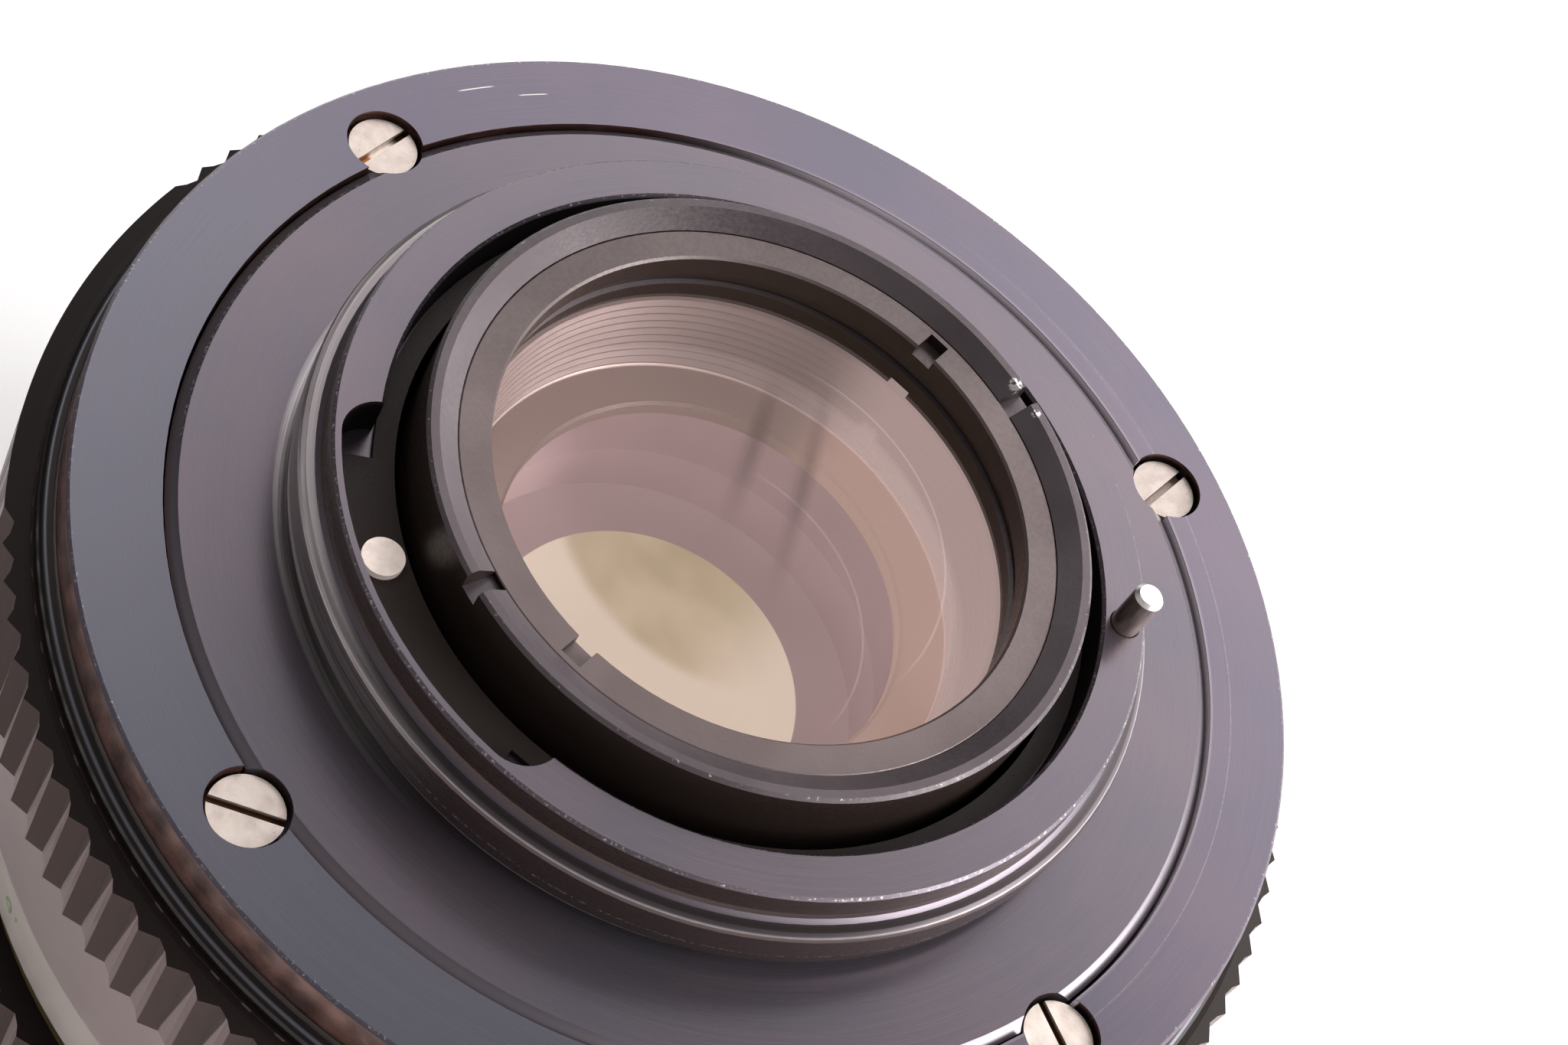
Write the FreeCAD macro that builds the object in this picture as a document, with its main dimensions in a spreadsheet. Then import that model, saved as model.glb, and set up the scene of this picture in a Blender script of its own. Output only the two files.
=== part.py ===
# Manual-focus camera lens, standing on its front rim with the mount up.
# +Z is the optical axis towards the mount; the origin is at the middle of the front rim.
import FreeCAD
import Part
import Sketcher
import math
import os

doc = FreeCAD.newDocument("camera_lens")
sheet = doc.addObject("Spreadsheet::Sheet", "Params")

# Driving dimensions, mm and degrees.
DIMS = {
    "flange_z": 46.0,          # flange face above the front rim
    "cover_outer": 30.6,       # rear cover ring
    "cover_inner": 26.37,
    "cover_thick": 3.2,
    "plate_outer": 26.22,      # mount plate, its spigot and lip
    "spigot_outer": 20.09,
    "spigot_inner": 17.82,
    "spigot_rise": 5.23,
    "lip_outer": 21.09,
    "plate_bore": 16.95,
    "recess_outer": 19.65,
    "screw_circle": 27.25,     # mount screws
    "screw_head": 1.75,
    "screw_shank": 0.95,
    "pin_circle": 18.97,       # aperture pin
    "pin_shank": 0.75,
    "pin_collar": 1.4,
    "cell_outer": 16.32,       # rear cell
    "cell_bore": 14.75,
    "tube_outer": 28.6,        # main barrel tube
    "tube_inner": 26.0,
    "bearing_outer": 29.2,
    "carrier_outer": 25.9,     # sliding inner barrel
    "carrier_inner": 24.5,
    "ridge": 32.6,             # aperture ring grip
    "valley": 32.12,
    "focus_ridge": 32.0,       # focus ring grip
    "focus_valley": 31.52,
    "sleeve_outer": 30.4,      # focus cam sleeve
    "sleeve_inner": 28.65,
    "roller": 1.0,             # focus rollers
    "focus_travel": 6.0,
    "focus_throw": 150.0,
    "filter_bore": 26.63,      # filter thread
    "front_outer": 31.2,
    "blade_inner": 11.2,       # iris
    "blade_outer": 16.4,
    "blade_pivot": 17.6,
    "blade_thick": 0.12,
    "iris_open": 11.6,
}
for row, (alias, value) in enumerate(DIMS.items(), start=1):
    sheet.set("A%d" % row, alias)
    sheet.set("B%d" % row, str(value))
    sheet.setAlias("B%d" % row, alias)
doc.recompute()

GRIP_RIBS = 104
GRIP_PITCH = 360.0 / GRIP_RIBS
GRIP_PHASE = 1.49              # angle of one ridge
FACET = 1.5                    # falling facet of each rib, degrees
SCREW_ANGLES = (159.2, 52.45, -111.55, -22.9)
SCREW_SLOTS = (78.8, 76.0, 19.6, -35.0)
PIN_ANGLE = 22.4
FORK_ANGLE = 180.0
IRIS_THROW = 45.0
STOPS = 7                      # click stops of the aperture ring
BLADE_SWING = 31.0
BLADES = 6

nodes = []


def keep(obj, label):
    """Name a finished piece and list it for export."""
    obj.Label = label
    nodes.append(obj)
    return obj


def size(alias):
    """A driving dimension as the sheet holds it."""
    return float(sheet.get(alias))


def value_of(term):
    """Numeric value of a term: a plain number, an alias, or (alias, offset)."""
    if isinstance(term, (int, float)):
        return float(term)
    if isinstance(term, str):
        return size(term)
    return size(term[0]) + term[1]


def formula_of(term):
    """Spreadsheet formula of a term, or None for a plain number."""
    if isinstance(term, (int, float)):
        return None
    if isinstance(term, str):
        return "Params.%s" % term
    sign = "+" if term[1] >= 0 else "-"
    return "Params.%s %s %r" % (term[0], sign, abs(float(term[1])))


def z_at(offset):
    """Height term measured from the flange face."""
    return ("flange_z", offset)


def polar(radius, degrees):
    """Plan position at a radius and angle."""
    a = math.radians(degrees)
    return radius * math.cos(a), radius * math.sin(a)


def bind(obj, prop, term):
    """Set a property and bind it to the sheet where the term names a cell."""
    setattr(obj, prop, value_of(term))
    text = formula_of(term)
    if text:
        obj.setExpression(prop, text)


def origin_plane(body, role):
    """One of a body's own origin planes."""
    return next(f for f in body.Origin.OriginFeatures if f.Role == role)


def turned(name, profile):
    """A turned body: a closed (radius, height) outline revolved about Z."""
    body = doc.addObject("PartDesign::Body", name)
    sketch = body.newObject("Sketcher::SketchObject", name + "_outline")
    sketch.AttachmentSupport = [(origin_plane(body, "XZ_Plane"), "")]
    sketch.MapMode = "FlatFace"
    points = [FreeCAD.Vector(value_of(r), value_of(z), 0) for r, z in profile]
    count = len(points)
    for i in range(count):
        sketch.addGeometry(Part.LineSegment(points[i], points[(i + 1) % count]), False)
    for i in range(count):
        sketch.addConstraint(Sketcher.Constraint("Coincident", i, 2, (i + 1) % count, 1))
    for i, (r, z) in enumerate(profile):
        k = sketch.addConstraint(Sketcher.Constraint("DistanceX", -1, 1, i, 1, value_of(r)))
        if formula_of(r):
            sketch.setExpression("Constraints[%d]" % k, formula_of(r))
        k = sketch.addConstraint(Sketcher.Constraint("DistanceY", -1, 1, i, 1, value_of(z)))
        if formula_of(z):
            sketch.setExpression("Constraints[%d]" % k, formula_of(z))
    turn = body.newObject("PartDesign::Revolution", name + "_turn")
    turn.Profile = sketch
    turn.ReferenceAxis = (sketch, ["V_Axis"])
    turn.Angle = 360.0
    body.Tip = turn
    return body


def cylinder(name, radius, height, x=0.0, y=0.0, z=0.0, axis=(0, 0, 1), angle=360.0, start=0.0):
    """A cylinder or sector, its base at (x, y, z) and its length along axis."""
    obj = doc.addObject("Part::Cylinder", name)
    bind(obj, "Radius", radius)
    bind(obj, "Height", height)
    obj.Angle = angle
    turn = FreeCAD.Rotation(FreeCAD.Vector(0, 0, 1), FreeCAD.Vector(*axis))
    spin = FreeCAD.Rotation(FreeCAD.Vector(0, 0, 1), start)
    obj.Placement = FreeCAD.Placement(FreeCAD.Vector(x, y, value_of(z)), turn.multiply(spin))
    if formula_of(z):
        obj.setExpression("Placement.Base.z", formula_of(z))
    return obj


def block(name, length, width, height, x, y, z, degrees=0.0):
    """A box centred on its width, starting at (x, y, z), its length along an angle in plan."""
    obj = doc.addObject("Part::Box", name)
    bind(obj, "Length", length)
    bind(obj, "Width", width)
    bind(obj, "Height", height)
    half = value_of(width) / 2.0
    a = math.radians(degrees)
    base = FreeCAD.Vector(x + half * math.sin(a), y - half * math.cos(a), value_of(z))
    obj.Placement = FreeCAD.Placement(base, FreeCAD.Rotation(FreeCAD.Vector(0, 0, 1), degrees))
    if formula_of(z):
        obj.setExpression("Placement.Base.z", formula_of(z))
    return obj


def joined(name, shapes):
    """One fused object from several."""
    obj = doc.addObject("Part::MultiFuse", name)
    obj.Shapes = shapes
    return obj


def cut(name, base, tools):
    """A base with one or more tools taken out of it."""
    obj = doc.addObject("Part::Cut", name)
    obj.Base = base
    obj.Tool = tools[0] if len(tools) == 1 else joined(name + "_tools", tools)
    return obj


def shared(name, base, tool):
    """What two objects have in common."""
    obj = doc.addObject("Part::Common", name)
    obj.Base = base
    obj.Tool = tool
    return obj


def sphere(name, radius, centre_z):
    """A whole sphere on the axis."""
    obj = doc.addObject("Part::Sphere", name)
    obj.Radius = radius
    obj.Placement.Base = FreeCAD.Vector(0, 0, value_of(centre_z))
    obj.setExpression("Placement.Base.z", formula_of(centre_z))
    return obj


def free_shape(name, shape):
    """A piece whose shape is made directly."""
    obj = doc.addObject("Part::Feature", name)
    obj.Shape = shape
    return obj


def arc_slot(name, inner, outer, low, high, start, sweep):
    """An annular sector between two radii and two heights, as a cutting tool."""
    full = cylinder(name + "_full", outer, high - low, z=z_at(low), angle=sweep, start=start)
    core = cylinder(name + "_core", inner, high - low + 2.0, z=z_at(low - 1.0))
    return cut(name, full, [core])


def coil(radius, wire, low, high, turns):
    """A compression spring about Z as a swept round wire."""
    pitch = (high - low) / turns
    path = Part.makeHelix(pitch, high - low, radius)
    path.translate(FreeCAD.Vector(0, 0, low))
    ring = Part.Circle(FreeCAD.Vector(radius, 0, low), FreeCAD.Vector(0, 1, 0), wire)
    section = Part.Wire([ring.toShape()])
    return Part.Wire(path.Edges).makePipeShell([section], True, True)


def ribbed_outline(ridge, valley, smooth_from=None, smooth_to=None):
    """Plan outline of a ribbed grip: a falling facet, then a rising flute, on every pitch."""
    points = []
    for k in range(GRIP_RIBS):
        at = GRIP_PHASE + k * GRIP_PITCH
        smooth = smooth_from is not None and smooth_from <= at % 360.0 <= smooth_to
        low = ridge if smooth else valley
        middle = ridge if smooth else (valley + 0.36 * (ridge - valley))
        for degrees, radius in ((at, ridge), (at + FACET, low), (at + FACET + 1.1, middle)):
            x, y = polar(radius, degrees)
            points.append(FreeCAD.Vector(x, y, 0))
    points.append(points[0])
    return Part.Face(Part.makePolygon(points))


FLANGE = size("flange_z")


# ---------------------------------------------------------------- mount end, fixed
def screw_tools(tag, head_clear, shank_clear, shank_depth):
    """Counterbores and shank holes on the screw circle."""
    tools = []
    for i, degrees in enumerate(SCREW_ANGLES):
        x, y = polar(size("screw_circle"), degrees)
        if head_clear:
            tools.append(cylinder("%s_cb%d" % (tag, i), head_clear, 4.0, x, y, z_at(-1.6)))
        tools.append(cylinder("%s_th%d" % (tag, i), shank_clear, shank_depth, x, y,
                              z_at(-1.0 - shank_depth)))
    return tools


cover_blank = turned("cover_blank", [
    ("cover_inner", z_at(-3.2)), ("cover_inner", z_at(0.0)),
    (("cover_outer", -0.15), z_at(0.0)), ("cover_outer", z_at(-0.15)),
    ("cover_outer", z_at(-2.5)), (("cover_outer", 0.1), z_at(-2.75)),
    (("cover_outer", 0.42), z_at(-2.86)), (("cover_outer", 0.64), z_at(-3.02)),
    (("cover_outer", 0.7), z_at(-3.25)), (("cover_outer", 0.7), z_at(-3.55)),
    (29.25, z_at(-3.55)), (29.25, z_at(-3.2))])
keep(cut("rear_cover_ring", cover_blank, screw_tools("cover", 1.95, 1.1, 4.0)), "rear_cover_ring")

plate_blank = turned("plate_blank", [
    ("plate_bore", z_at(-3.2)), ("plate_bore", z_at(3.0)),
    ("spigot_inner", z_at(3.0)), ("spigot_inner", z_at(5.08)),
    (("spigot_inner", 0.15), z_at(5.23)), (("spigot_outer", -0.15), z_at(5.23)),
    ("spigot_outer", z_at(5.08)), ("spigot_outer", z_at(3.85)),
    (("spigot_outer", 0.08), z_at(3.62)), (("spigot_outer", 0.3), z_at(3.46)),
    (("lip_outer", -0.32), z_at(3.42)), (("lip_outer", -0.1), z_at(3.32)),
    ("lip_outer", z_at(3.1)), ("lip_outer", z_at(1.66)),
    (("lip_outer", -0.12), z_at(0.9)), (("spigot_outer", 0.25), z_at(0.75)),
    (("spigot_outer", 0.25), z_at(0.12)), (("spigot_outer", 0.37), z_at(0.0)),
    (25.69, z_at(0.0)), ("plate_outer", z_at(-0.36)), ("plate_outer", z_at(-3.2))])
RECESS_START = -148.5
RECESS_SWEEP = 50.2
recess_tools = [cylinder("recess_sector", "recess_outer", 4.0, z=z_at(3.0),
                         angle=RECESS_SWEEP, start=RECESS_START)]
for i, degrees in enumerate((RECESS_START, RECESS_START + RECESS_SWEEP)):
    x, y = polar(size("recess_outer") - 1.9, degrees)
    recess_tools.append(cylinder("recess_corner%d" % i, 1.9, 4.0, x, y, z_at(3.0)))
pin_x, pin_y = polar(size("pin_circle"), PIN_ANGLE)
pin_bore = cylinder("pin_bore", ("pin_shank", 0.05), 12.0, pin_x, pin_y, z_at(-4.0))
RIVET_ANGLE = -131.7
rivet_x, rivet_y = polar(17.95, RIVET_ANGLE)
rivet_hole = cylinder("rivet_hole", 0.6, 3.0, rivet_x, rivet_y, z_at(0.8))
keep(cut("mount_plate", plate_blank,
         recess_tools + [pin_bore, rivet_hole] + screw_tools("plate", 1.95, 1.1, 4.0)),
     "mount_plate")

screws = []
for i, degrees in enumerate(SCREW_ANGLES):
    x, y = polar(size("screw_circle"), degrees)
    head = cylinder("head%d" % i, "screw_head", 1.2, x, y, z_at(-1.6))
    shank = cylinder("shank%d" % i, "screw_shank", 5.6, x, y, z_at(-7.2))
    a = math.radians(SCREW_SLOTS[i])
    slot = block("slot%d" % i, 5.0, 0.38, 1.0, x - 2.5 * math.cos(a), y - 2.5 * math.sin(a),
                 z_at(-0.85), SCREW_SLOTS[i])
    screws.append(cut("screw%d" % i, joined("screw_blank%d" % i, [head, shank]), [slot]))
group = doc.addObject("Part::Compound", "mount_screws")
group.Links = screws
keep(group, "mount_screws")

baffle_ring = turned("baffle_blank", [
    (16.7, z_at(3.02)), (17.72, z_at(3.02)), (17.72, z_at(3.3)), (16.7, z_at(3.3))])
baffle_wing = arc_slot("baffle_wing", 17.6, size("recess_outer") - 0.15, 3.02, 3.3,
                       RECESS_START - 0.5, RECESS_SWEEP + 1.0)
baffle_hole = cylinder("baffle_hole", 0.6, 2.0, rivet_x, rivet_y, z_at(2.5))
keep(cut("light_baffle", joined("baffle_plain", [baffle_ring, baffle_wing]), [baffle_hole]),
     "light_baffle")
rivet_head = cylinder("rivet_head", 1.0, 0.35, rivet_x, rivet_y, z_at(3.3))
rivet_stem = cylinder("rivet_stem", 0.6, 2.5, rivet_x, rivet_y, z_at(0.8))
keep(joined("baffle_rivet", [rivet_head, rivet_stem]), "baffle_rivet")

# ---------------------------------------------------------------- main barrel, fixed
barrel_blank = turned("barrel_blank", [
    (24.3, z_at(-3.2)), ("bearing_outer", z_at(-3.2)), ("bearing_outer", z_at(-17.3)),
    ("tube_outer", z_at(-17.3)), ("tube_outer", z_at(-41.0)), ("tube_inner", z_at(-41.0)),
    ("tube_inner", z_at(-5.0)), (24.3, z_at(-5.0))])
ROLLER_Z = -27.5
barrel_tools = screw_tools("barrel", None, "screw_shank", 7.0)
for i, degrees in enumerate((90.0, -90.0)):
    dx, dy = polar(1.0, degrees)
    reach = 22.0
    for j, z in enumerate((ROLLER_Z, ROLLER_Z - size("focus_travel"))):
        barrel_tools.append(cylinder("guide_end%d%d" % (i, j), ("roller", 0.05), 9.0,
                                     reach * dx, reach * dy, z_at(z), axis=(dx, dy, 0)))
    barrel_tools.append(block("guide_mid%d" % i, 9.0, 2.0 * (size("roller") + 0.05),
                              "focus_travel", reach * dx, reach * dy,
                              z_at(ROLLER_Z - size("focus_travel")), degrees))
fork_gap = arc_slot("fork_gap", 25.0, 30.0, -11.9, -9.9, FORK_ANGLE - 9.0, IRIS_THROW + 18.0)
CLICK_ANGLE = -60.0
click_dx, click_dy = polar(1.0, CLICK_ANGLE)
click_bore = cylinder("click_bore", 0.8, 5.0, 25.0 * click_dx, 25.0 * click_dy, z_at(-14.0),
                      axis=(click_dx, click_dy, 0))
keep(cut("main_barrel", barrel_blank, barrel_tools + [fork_gap, click_bore]), "main_barrel")

click_ball = doc.addObject("Part::Sphere", "click_ball")
click_ball.Radius = 0.74
click_ball.Placement.Base = FreeCAD.Vector(28.44 * click_dx, 28.44 * click_dy, FLANGE - 14.0)
keep(click_ball, "click_ball")
click_coil = coil(0.5, 0.14, 26.15, 27.6, 3.0)
click_coil.rotate(FreeCAD.Vector(0, 0, 0), FreeCAD.Vector(0, 1, 0), 90.0)
click_coil.rotate(FreeCAD.Vector(0, 0, 0), FreeCAD.Vector(0, 0, 1), CLICK_ANGLE)
click_coil.translate(FreeCAD.Vector(0, 0, FLANGE - 14.0))
keep(free_shape("click_spring", click_coil), "click_spring")

index_blank = turned("index_blank", [
    ("tube_outer", z_at(-17.35)), (31.3, z_at(-17.35)), (31.42, z_at(-17.5)),
    (31.0, z_at(-21.95)), (30.85, z_at(-22.04)), ("tube_outer", z_at(-22.04))])
set_angles = (35.0, 155.0, 275.0)
set_holes = []
set_screws = []
for i, degrees in enumerate(set_angles):
    dx, dy = polar(1.0, degrees)
    set_holes.append(cylinder("set_hole%d" % i, 0.7, 4.0, 28.5 * dx, 28.5 * dy, z_at(-19.7),
                              axis=(dx, dy, 0)))
    stud = cylinder("set_stud%d" % i, 0.7, 2.25, 28.6 * dx, 28.6 * dy, z_at(-19.7),
                    axis=(dx, dy, 0))
    nick = block("set_nick%d" % i, 1.0, 0.3, 2.0, 30.4 * dx, 30.4 * dy, z_at(-20.7), degrees)
    set_screws.append(cut("set_screw%d" % i, stud, [nick]))
keep(cut("index_ring", index_blank, set_holes), "index_ring")
group = doc.addObject("Part::Compound", "index_set_screws")
group.Links = set_screws
keep(group, "index_set_screws")

keep(turned("seal_ring", [
    ("tube_outer", z_at(-22.08)), (30.15, z_at(-22.08)), (30.15, z_at(-23.95)),
    ("tube_outer", z_at(-23.95))]), "seal_ring")

keep(turned("filter_ring", [
    ("tube_outer", z_at(-38.3)), (("front_outer", -0.2), z_at(-38.3)),
    ("front_outer", z_at(-38.55)), ("front_outer", z_at(-45.5)),
    (("front_outer", -0.5), z_at(-46.0)), (("filter_bore", 0.6), z_at(-46.0)),
    ("filter_bore", z_at(-45.5)), ("filter_bore", z_at(-41.1)),
    ("tube_outer", z_at(-41.1))]), "filter_ring")

# ---------------------------------------------------------------- aperture pin
shank = cylinder("pin_shaft", "pin_shank", 17.9, pin_x, pin_y, z_at(-10.2))
tip = doc.addObject("Part::Cone", "pin_tip")
bind(tip, "Radius1", "pin_shank")
bind(tip, "Radius2", ("pin_shank", -0.18))
tip.Height = 0.22
tip.Placement.Base = FreeCAD.Vector(pin_x, pin_y, FLANGE + 7.7)
tip.setExpression("Placement.Base.z", "Params.flange_z + 7.7")
collar = cylinder("pin_flange", "pin_collar", 0.65, pin_x, pin_y, z_at(-3.9))
keep(joined("aperture_pin", [shank, tip, collar]), "aperture_pin")

cup_outer = cylinder("cup_outer", 2.3, 6.1, pin_x, pin_y, z_at(-9.3))
cup_inner = cylinder("cup_inner", 1.75, 6.0, pin_x, pin_y, z_at(-8.7))
cup_hole = cylinder("cup_hole", ("pin_shank", 0.05), 3.0, pin_x, pin_y, z_at(-10.0))
keep(cut("pin_housing", cup_outer, [cup_inner, cup_hole]), "pin_housing")
pin_coil = coil(1.2, 0.16, FLANGE - 8.5, FLANGE - 4.1, 6.0)
pin_coil.translate(FreeCAD.Vector(pin_x, pin_y, 0))
keep(free_shape("pin_spring", pin_coil), "pin_spring")

# ---------------------------------------------------------------- aperture ring
ribs = ribbed_outline(size("ridge"), size("valley"), 172.0, 212.0)
ribs = ribs.extrude(FreeCAD.Vector(0, 0, 6.1))
ribs.translate(FreeCAD.Vector(0, 0, FLANGE - 10.1))
nose = Part.makeCone(size("ridge") + 0.35, 31.5, 0.35, FreeCAD.Vector(0, 0, FLANGE - 4.3))
hull = Part.makeCylinder(size("ridge") + 0.35, 5.8, FreeCAD.Vector(0, 0, FLANGE - 10.1))
hollow = Part.makeCylinder(30.3, 20.0, FreeCAD.Vector(0, 0, FLANGE - 15.0))
face_step = Part.makeCylinder(31.4, 0.2, FreeCAD.Vector(0, 0, FLANGE - 4.0))
grip = ribs.common(hull.fuse(nose)).fuse(face_step).cut(hollow).removeSplitter()
keep(free_shape("aperture_ring", grip), "aperture_ring")

scale_blank = turned("scale_blank", [
    (("bearing_outer", 0.05), z_at(-4.2)), (30.3, z_at(-4.2)), (30.3, z_at(-10.1)),
    (32.1, z_at(-10.1)), (31.5, z_at(-17.1)), (31.35, z_at(-17.25)),
    (("bearing_outer", 0.05), z_at(-17.25))])
scale_tools = [block("fork_seat", 4.0, 6.0, 1.0, *polar(26.8, FORK_ANGLE), z_at(-11.4), FORK_ANGLE)]
for k in range(STOPS):
    x, y = polar(28.72, CLICK_ANGLE - k * IRIS_THROW / (STOPS - 1))
    scale_tools.append(cylinder("detent%d" % k, 0.8, 2.4, x, y, z_at(-15.2)))
keep(cut("aperture_scale_ring", scale_blank, scale_tools), "aperture_scale_ring")

fork_x, fork_y = polar(20.6, FORK_ANGLE)
fork_plate = block("fork_plate", 10.15, 6.0, 1.0, fork_x, fork_y, z_at(-11.4), FORK_ANGLE)
fork_mouth = block("fork_mouth", 3.4, 2.1, 3.0, *polar(20.0, FORK_ANGLE), z_at(-12.4), FORK_ANGLE)
keep(cut("aperture_fork", fork_plate, [fork_mouth]), "aperture_fork")

# ---------------------------------------------------------------- focus ring
grip_length = 8.4
ribs = ribbed_outline(size("focus_ridge"), size("focus_valley"))
ribs = ribs.extrude(FreeCAD.Vector(0, 0, grip_length))
ribs.translate(FreeCAD.Vector(0, 0, FLANGE - 24.1 - grip_length))
hollow = Part.makeCylinder(size("sleeve_outer"), 20.0, FreeCAD.Vector(0, 0, FLANGE - 35.0))
keep(free_shape("focus_ring", ribs.cut(hollow)), "focus_ring")

keep(turned("distance_scale_ring", [
    ("sleeve_outer", z_at(-32.55)), (31.15, z_at(-32.55)), (31.3, z_at(-32.7)),
    (31.3, z_at(-38.0)), (31.15, z_at(-38.15)), ("sleeve_outer", z_at(-38.15))]),
    "distance_scale_ring")

sleeve = Part.makeCylinder(size("sleeve_outer"), 13.9, FreeCAD.Vector(0, 0, FLANGE - 38.15))
sleeve = sleeve.cut(Part.makeCylinder(size("sleeve_inner"), 20.0,
                                      FreeCAD.Vector(0, 0, FLANGE - 40.0)))
lead = size("focus_travel") * 360.0 / size("focus_throw")
RUN_OUT = 2.4                  # extra groove at each end, degrees
groove_rise = lead * (size("focus_throw") + 2.0 * RUN_OUT) / 360.0
for degrees in (90.0, -90.0):
    path = Part.makeHelix(lead, groove_rise, 29.5)
    half = size("roller") + 0.06
    corners = [FreeCAD.Vector(28.0, 0, -half), FreeCAD.Vector(31.0, 0, -half),
               FreeCAD.Vector(31.0, 0, half), FreeCAD.Vector(28.0, 0, half)]
    section = Part.makePolygon(corners + [corners[0]])
    groove = Part.Wire(path.Edges).makePipeShell([section], True, True)
    groove.rotate(FreeCAD.Vector(0, 0, 0), FreeCAD.Vector(0, 0, 1),
                  degrees - size("focus_throw") - RUN_OUT)
    start_drop = lead * RUN_OUT / 360.0
    groove.translate(FreeCAD.Vector(0, 0, FLANGE + ROLLER_Z - size("focus_travel") - start_drop))
    sleeve = sleeve.cut(groove)
keep(free_shape("focus_cam_sleeve", sleeve), "focus_cam_sleeve")

# ---------------------------------------------------------------- sliding lens block
carrier_blank = turned("carrier_blank", [
    ("carrier_outer", z_at(-12.5)), ("carrier_outer", z_at(-36.0)),
    ("carrier_inner", z_at(-36.0)), ("carrier_inner", z_at(-14.6)),
    (16.0, z_at(-14.6)), (16.0, z_at(-13.0)), ("carrier_inner", z_at(-13.0)),
    ("carrier_inner", z_at(-12.5))])
carrier_tools = [arc_slot("tongue_gap", 21.2, 22.8, -15.0, -12.0, FORK_ANGLE - 4.0,
                          IRIS_THROW + 8.0)]
rollers = []
for i, degrees in enumerate((90.0, -90.0)):
    dx, dy = polar(1.0, degrees)
    carrier_tools.append(cylinder("roller_seat%d" % i, "roller", 4.0, 23.5 * dx, 23.5 * dy,
                                  z_at(ROLLER_Z), axis=(dx, dy, 0)))
    rollers.append(cylinder("roller_pin%d" % i, "roller", 5.4, 24.6 * dx, 24.6 * dy,
                            z_at(ROLLER_Z), axis=(dx, dy, 0)))
keep(cut("inner_barrel", carrier_blank, carrier_tools), "inner_barrel")
group = doc.addObject("Part::Compound", "focus_rollers")
group.Links = rollers
keep(group, "focus_rollers")

cell_blank = turned("cell_blank", [
    (15.95, z_at(-15.0)), (15.95, z_at(-13.0)), ("cell_outer", z_at(-13.0)),
    ("cell_outer", z_at(7.0)), (("cell_outer", -0.17), z_at(7.17)),
    (("cell_outer", -0.57), z_at(7.17)), ("cell_bore", z_at(6.55)),
    ("cell_bore", z_at(-2.6)), (12.5, z_at(-2.6)), (12.5, z_at(-7.2)),
    (11.4, z_at(-7.6)), (11.4, z_at(-15.0))])
NOTCH_ANGLES = (-118.5, 61.5)
notches = []
for i, degrees in enumerate(NOTCH_ANGLES):
    x, y = polar(14.6, degrees)
    notches.append(block("rim_notch%d" % i, 2.4, 1.0, 2.0, x, y, z_at(6.2), degrees))
keep(cut("rear_cell", cell_blank, notches), "rear_cell")

ring_blank = turned("rear_ring_blank", [
    (13.13, z_at(5.3)), (14.72, z_at(5.3)), (14.72, z_at(6.5)), (14.66, z_at(6.54)),
    (13.25, z_at(6.54)), (13.13, z_at(6.42))])
ring_slots = []
for i, degrees in enumerate((-100.4, 79.6)):
    x, y = polar(12.9, degrees)
    ring_slots.append(block("ring_slot%d" % i, 1.5, 1.1, 1.0, x, y, z_at(5.9), degrees))
keep(cut("rear_retaining_ring", ring_blank, ring_slots), "rear_retaining_ring")

spacer_blank = turned("rear_spacer_blank", [
    (13.5, z_at(2.86)), (14.7, z_at(2.86)), (14.7, z_at(5.28)), (13.5, z_at(5.28)),
    (13.5, z_at(4.35)), (13.28, z_at(4.25)), (13.28, z_at(4.05)), (13.5, z_at(3.95))])
spacer_nick = block("spacer_nick", 0.7, 1.2, 0.8, *polar(13.2, 80.5), z_at(2.6), 80.5)
keep(cut("rear_spacer", spacer_blank, [spacer_nick]), "rear_spacer")

keep(shared("rear_element", cylinder("rear_glass", 13.45, 2.0, z=z_at(2.86)),
            sphere("rear_curve", 80.0, z_at(4.3 - 80.0))), "rear_element")

# Anti-reflection ring: a threaded funnel whose rim is the seat of the rear element.
FUNNEL_TOP = 2.84
FUNNEL_LOW = -1.58
FUNNEL_RIM = 13.3
FUNNEL_THROAT = 12.62
FUNNEL_RINGS = 9
ring_drop = (FUNNEL_TOP - FUNNEL_LOW) / FUNNEL_RINGS
ring_in = (FUNNEL_RIM - FUNNEL_THROAT) / FUNNEL_RINGS
thread_points = [(14.7, z_at(FUNNEL_LOW)), (14.7, z_at(FUNNEL_TOP)), (FUNNEL_RIM, z_at(FUNNEL_TOP))]
for k in range(FUNNEL_RINGS):
    high = FUNNEL_TOP - k * ring_drop
    radius = FUNNEL_RIM - (k + 1) * ring_in
    thread_points.append((radius + 0.34, z_at(high - 0.3 * ring_drop)))
    thread_points.append((radius, z_at(high - 0.8 * ring_drop)))
    thread_points.append((radius, z_at(high - ring_drop)))
keep(turned("baffle_ring", thread_points), "baffle_ring")

keep(turned("rear_stop_ring", [
    (10.3, z_at(-2.6)), (14.7, z_at(-2.6)), (14.7, z_at(-1.6)), (12.7, z_at(-1.6)),
    (12.55, z_at(-1.75)), (10.45, z_at(-1.75)), (10.3, z_at(-1.9))]), "rear_stop_ring")

keep(cut("rear_inner_element", cylinder("inner_glass", 12.4, 4.4, z=z_at(-7.1)),
         [sphere("inner_curve", 42.0, z_at(-4.5 + 42.0))]), "rear_inner_element")

keep(cylinder("rear_middle_element", 11.35, 2.6, z=z_at(-13.3)), "rear_middle_element")

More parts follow.
